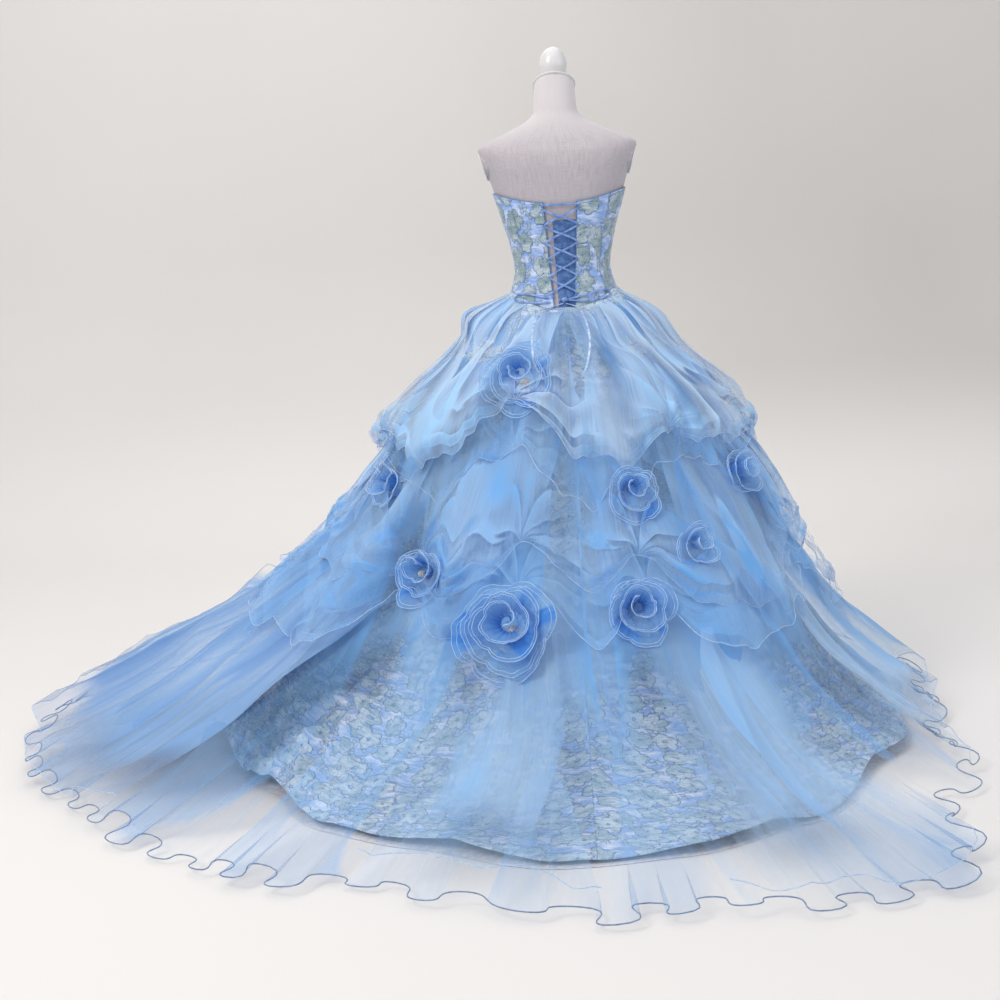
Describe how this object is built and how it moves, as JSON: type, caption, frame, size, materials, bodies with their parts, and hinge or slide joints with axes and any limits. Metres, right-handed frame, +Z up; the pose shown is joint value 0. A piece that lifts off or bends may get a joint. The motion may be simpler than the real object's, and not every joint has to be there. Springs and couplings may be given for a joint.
{
  "type": "ball gown on dress form",
  "caption": "Strapless laced-back ball gown with a floral brocade skirt under tiered sheer tulle, coiled tulle rosettes and a long train, on a limbless dress form with a round foot.",
  "frame": {"origin": "centre of the stand's flat underside, on the floor below the dress form's axis", "axes": "+Z up along the dress form, the gown's front faces -Y and its laced back faces +Y, the wearer's left is +X"},
  "size_m": [2.2455, 2.2823, 1.64],
  "materials": {
    "floral_brocade": "satin",
    "blue_tulle": "matte",
    "satin_ribbon": "satin",
    "deep_blue_satin": "satin",
    "linen_cover": "matte",
    "white_lacquer": "gloss",
    "white_steel": "satin"
  },
  "bodies": {
    "root": {"bodice_back_left": "floral_brocade", "bodice_back_right": "floral_brocade", "bodice_front": "floral_brocade", "bodice_side_back_left": "floral_brocade", "bodice_side_back_right": "floral_brocade", "bodice_side_front_left": "floral_brocade", "bodice_side_front_right": "floral_brocade", "bow_knot": "satin_ribbon", "bow_loop_left": "satin_ribbon", "bow_loop_right": "satin_ribbon", "form_finial": "white_lacquer", "form_foot": "white_steel", "form_neck_plate": "white_steel", "form_pole": "white_steel", "form_torso": "linen_cover", "lacing_left": "satin_ribbon", "lacing_right": "satin_ribbon", "lacing_tail_left": "satin_ribbon", "lacing_tail_right": "satin_ribbon", "lacing_top": "satin_ribbon", "modesty_panel": "deep_blue_satin", "rosette_centre": "blue_tulle", "rosette_far_left": "blue_tulle", "rosette_far_right": "blue_tulle", "rosette_heart_centre": "floral_brocade", "rosette_heart_left": "floral_brocade", "rosette_heart_side_right": "floral_brocade", "rosette_heart_upper": "floral_brocade", "rosette_left": "blue_tulle", "rosette_middle": "blue_tulle", "rosette_right": "blue_tulle", "rosette_side_right": "blue_tulle", "rosette_upper": "blue_tulle", "skirt_back_left": "floral_brocade", "skirt_back_right": "floral_brocade", "skirt_front": "floral_brocade", "skirt_side_left": "floral_brocade", "skirt_side_right": "floral_brocade", "tulle_overlay_centre": "blue_tulle", "tulle_overlay_left": "blue_tulle", "tulle_overlay_right": "blue_tulle", "tulle_overlay_side_right": "blue_tulle", "tulle_tier_middle": "blue_tulle", "tulle_tier_upper": "blue_tulle", "tulle_train_back": "blue_tulle", "tulle_train_back_left": "blue_tulle", "tulle_train_back_right": "blue_tulle", "tulle_train_front": "blue_tulle", "tulle_train_side_left": "blue_tulle", "tulle_train_side_right": "blue_tulle"}
  },
  "joints": []
}
